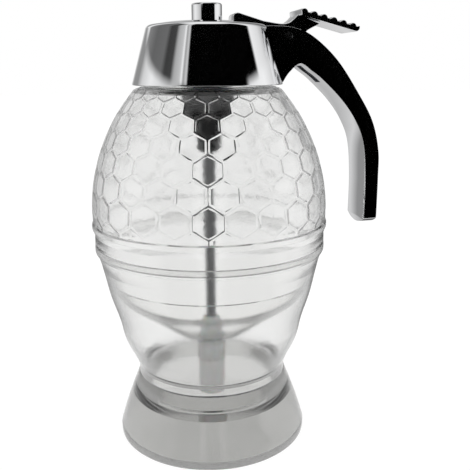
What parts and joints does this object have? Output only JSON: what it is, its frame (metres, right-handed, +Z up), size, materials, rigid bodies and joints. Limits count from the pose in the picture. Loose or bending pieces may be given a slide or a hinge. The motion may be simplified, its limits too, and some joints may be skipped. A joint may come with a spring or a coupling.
{
  "type": "honey dispenser",
  "caption": "Clear honeycomb-patterned jar on a flared stand, with a chrome cap, arched handle and thumb lever that lifts a valve rod to let honey out below.",
  "frame": {"origin": "middle of the stand's flat underside, on the axis of the jar", "axes": "+Z up along the jar and the valve rod; +X towards the handle and the thumb lever"},
  "size_m": [0.1138, 0.092, 0.1693],
  "materials": {
    "clear_plastic": "clear, polished",
    "chrome_plate": "mirror plated",
    "dark_plastic": "satin",
    "white_plastic": "satin",
    "white_silicone": "satin",
    "seal_rubber": "matte",
    "steel": "smooth"
  },
  "bodies": {
    "stand": {"stand": "clear_plastic"},
    "jar": {"jar_bowl": "clear_plastic", "jar_upper": "clear_plastic", "funnel": "clear_plastic", "outlet_spout": "white_plastic"},
    "neck_ring": {"neck_gasket": "white_silicone"},
    "cap": {"cap_shell": "chrome_plate", "cap_liner": "dark_plastic", "liner_screws": "steel", "guide_bush": "dark_plastic", "rod_seal": "seal_rubber", "spring_washer": "steel", "handle": "chrome_plate", "handle_screws": "steel", "pivot_pin": "steel"},
    "lever": {"trigger_lever": "chrome_plate"},
    "valve": {"lift_post": "chrome_plate", "valve_rod": "steel", "spring_collar": "steel", "collar_clip": "steel", "return_spring": "steel", "stopper": "white_silicone"}
  },
  "joints": [
    {"name": "jar_lift", "type": "slide", "parent": "stand", "child": "jar", "axis": [0, 0, 1], "range_m": [0, 0.03]},
    {"name": "cap_lift", "type": "slide", "parent": "jar", "child": "neck_ring", "axis": [0, 0, 1], "range_m": [0, 0.115]},
    {"name": "cap_turn", "type": "hinge", "parent": "neck_ring", "child": "cap", "pos_m": [0, 0, 0.148], "axis": [0, 0, 1], "range_deg": [0, 360]},
    {"name": "lever_press", "type": "hinge", "parent": "cap", "child": "lever", "pos_m": [0.0294, 0, 0.1577], "axis": [0, 1, 0], "range_deg": [0, 12], "stiffness_Nm_per_rad": 0.44, "springref_deg": -15.47},
    {"name": "valve_lift", "type": "slide", "parent": "cap", "child": "valve", "axis": [0, 0, 1], "range_m": [0, 0.0063], "deforming": ["return_spring"]}
  ],
  "couplings": [
    {"joint": "valve_lift", "follows": "lever_press", "m_per_rad": 0.0296}
  ]
}
